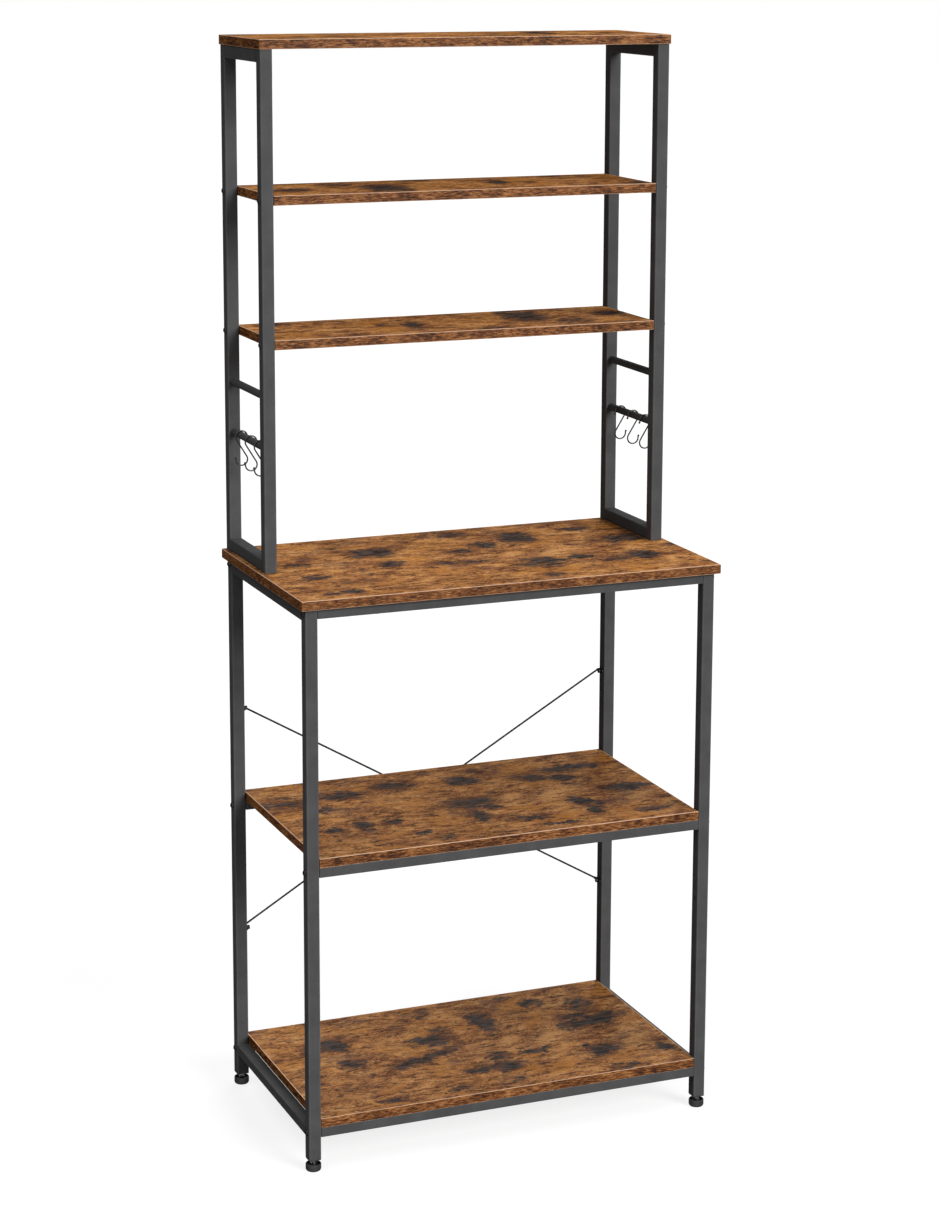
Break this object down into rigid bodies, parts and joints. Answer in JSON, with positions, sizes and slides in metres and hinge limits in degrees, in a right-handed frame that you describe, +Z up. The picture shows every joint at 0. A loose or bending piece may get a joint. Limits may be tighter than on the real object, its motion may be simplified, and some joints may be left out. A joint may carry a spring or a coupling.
{
  "type": "kitchen storage rack",
  "caption": "Metal-framed kitchen rack with a wood-look worktop, lower shelves, a narrower shelved hutch above, side bars with S-hooks, a cross brace and levelling feet.",
  "frame": {"origin": "on the floor, under the middle of the worktop: the centre of the bounding box's bottom face", "axes": "+Z up; +X to the right along the boards, seen from the front; +Y to the back, where the hutch and the cross brace are"},
  "size_m": [0.7, 0.4, 1.736],
  "materials": {
    "board": "rustic brown printed laminate with dark knots, satin",
    "frame_paint": "charcoal powder coat, satin",
    "black_steel": "black coated steel, semi-gloss",
    "foot_plastic": "moulded black plastic",
    "zinc_steel": "zinc plated"
  },
  "bodies": {
    "rack": {"worktop": "board", "middle_shelf": "board", "bottom_shelf": "board", "top_board": "board", "hutch_shelf_upper": "board", "hutch_shelf_lower": "board", "leg_front_left": "frame_paint", "hutch_post_front_left": "frame_paint", "leg_insert_front_left": "foot_plastic", "hutch_bolt_front_left": "black_steel", "leg_back_left": "frame_paint", "hutch_post_back_left": "frame_paint", "leg_insert_back_left": "foot_plastic", "hutch_bolt_back_left": "black_steel", "worktop_side_rail_left": "frame_paint", "bottom_side_rail_left": "frame_paint", "hutch_bottom_rail_left": "frame_paint", "hutch_top_rail_left": "frame_paint", "upper_bar_left": "frame_paint", "lower_bar_left": "frame_paint", "brace_screw_upper_left": "black_steel", "brace_screw_lower_left": "black_steel", "leg_front_right": "frame_paint", "hutch_post_front_right": "frame_paint", "leg_insert_front_right": "foot_plastic", "hutch_bolt_front_right": "black_steel", "leg_back_right": "frame_paint", "hutch_post_back_right": "frame_paint", "leg_insert_back_right": "foot_plastic", "hutch_bolt_back_right": "black_steel", "worktop_side_rail_right": "frame_paint", "bottom_side_rail_right": "frame_paint", "hutch_bottom_rail_right": "frame_paint", "hutch_top_rail_right": "frame_paint", "upper_bar_right": "frame_paint", "lower_bar_right": "frame_paint", "brace_screw_upper_right": "black_steel", "brace_screw_lower_right": "black_steel", "worktop_rail_front": "frame_paint", "worktop_rail_back": "frame_paint", "middle_rail_front": "frame_paint", "middle_rail_back": "frame_paint", "bottom_rail_front": "frame_paint", "bottom_rail_back": "frame_paint", "brace_rod_falling": "black_steel", "brace_rod_rising": "black_steel"},
    "pad_front_left": {"foot_pad_front_left": "foot_plastic"},
    "stem_front_left": {"foot_stem_front_left": "zinc_steel"},
    "pad_back_left": {"foot_pad_back_left": "foot_plastic"},
    "stem_back_left": {"foot_stem_back_left": "zinc_steel"},
    "hook_left_1": {"s_hook_left_1": "black_steel"},
    "hook_left_2": {"s_hook_left_2": "black_steel"},
    "hook_left_3": {"s_hook_left_3": "black_steel"},
    "pad_front_right": {"foot_pad_front_right": "foot_plastic"},
    "stem_front_right": {"foot_stem_front_right": "zinc_steel"},
    "pad_back_right": {"foot_pad_back_right": "foot_plastic"},
    "stem_back_right": {"foot_stem_back_right": "zinc_steel"},
    "hook_right_1": {"s_hook_right_1": "black_steel"},
    "hook_right_2": {"s_hook_right_2": "black_steel"},
    "hook_right_3": {"s_hook_right_3": "black_steel"}
  },
  "joints": [
    {"name": "foot_travel_front_left", "type": "slide", "parent": "rack", "child": "pad_front_left", "axis": [0, 0, -1], "range_m": [0, 0.01]},
    {"name": "foot_turn_front_left", "type": "hinge", "parent": "pad_front_left", "child": "stem_front_left", "pos_m": [-0.3325, -0.183, 0.02], "axis": [0, 0, -1], "range_deg": [0, 3600]},
    {"name": "foot_travel_back_left", "type": "slide", "parent": "rack", "child": "pad_back_left", "axis": [0, 0, -1], "range_m": [0, 0.01]},
    {"name": "foot_turn_back_left", "type": "hinge", "parent": "pad_back_left", "child": "stem_back_left", "pos_m": [-0.3325, 0.183, 0.02], "axis": [0, 0, -1], "range_deg": [0, 3600]},
    {"name": "hook_swing_left_1", "type": "hinge", "parent": "rack", "child": "hook_left_1", "pos_m": [-0.3325, 0.047, 1.1074], "axis": [0, 1, 0], "range_deg": [-60, 60]},
    {"name": "hook_swing_left_2", "type": "hinge", "parent": "rack", "child": "hook_left_2", "pos_m": [-0.3325, 0.093, 1.1074], "axis": [0, 1, 0], "range_deg": [-60, 60]},
    {"name": "hook_swing_left_3", "type": "hinge", "parent": "rack", "child": "hook_left_3", "pos_m": [-0.3325, 0.142, 1.1074], "axis": [0, 1, 0], "range_deg": [-60, 60]},
    {"name": "foot_travel_front_right", "type": "slide", "parent": "rack", "child": "pad_front_right", "axis": [0, 0, -1], "range_m": [0, 0.01]},
    {"name": "foot_turn_front_right", "type": "hinge", "parent": "pad_front_right", "child": "stem_front_right", "pos_m": [0.3325, -0.183, 0.02], "axis": [0, 0, -1], "range_deg": [0, 3600]},
    {"name": "foot_travel_back_right", "type": "slide", "parent": "rack", "child": "pad_back_right", "axis": [0, 0, -1], "range_m": [0, 0.01]},
    {"name": "foot_turn_back_right", "type": "hinge", "parent": "pad_back_right", "child": "stem_back_right", "pos_m": [0.3325, 0.183, 0.02], "axis": [0, 0, -1], "range_deg": [0, 3600]},
    {"name": "hook_swing_right_1", "type": "hinge", "parent": "rack", "child": "hook_right_1", "pos_m": [0.3325, 0.047, 1.1074], "axis": [0, 1, 0], "range_deg": [-60, 60]},
    {"name": "hook_swing_right_2", "type": "hinge", "parent": "rack", "child": "hook_right_2", "pos_m": [0.3325, 0.093, 1.1074], "axis": [0, 1, 0], "range_deg": [-60, 60]},
    {"name": "hook_swing_right_3", "type": "hinge", "parent": "rack", "child": "hook_right_3", "pos_m": [0.3325, 0.142, 1.1074], "axis": [0, 1, 0], "range_deg": [-60, 60]}
  ],
  "couplings": [
    {"joint": "foot_turn_front_left", "follows": "foot_travel_front_left", "rad_per_m": 6283.2},
    {"joint": "foot_turn_back_left", "follows": "foot_travel_back_left", "rad_per_m": 6283.2},
    {"joint": "foot_turn_front_right", "follows": "foot_travel_front_right", "rad_per_m": 6283.2},
    {"joint": "foot_turn_back_right", "follows": "foot_travel_back_right", "rad_per_m": 6283.2}
  ]
}
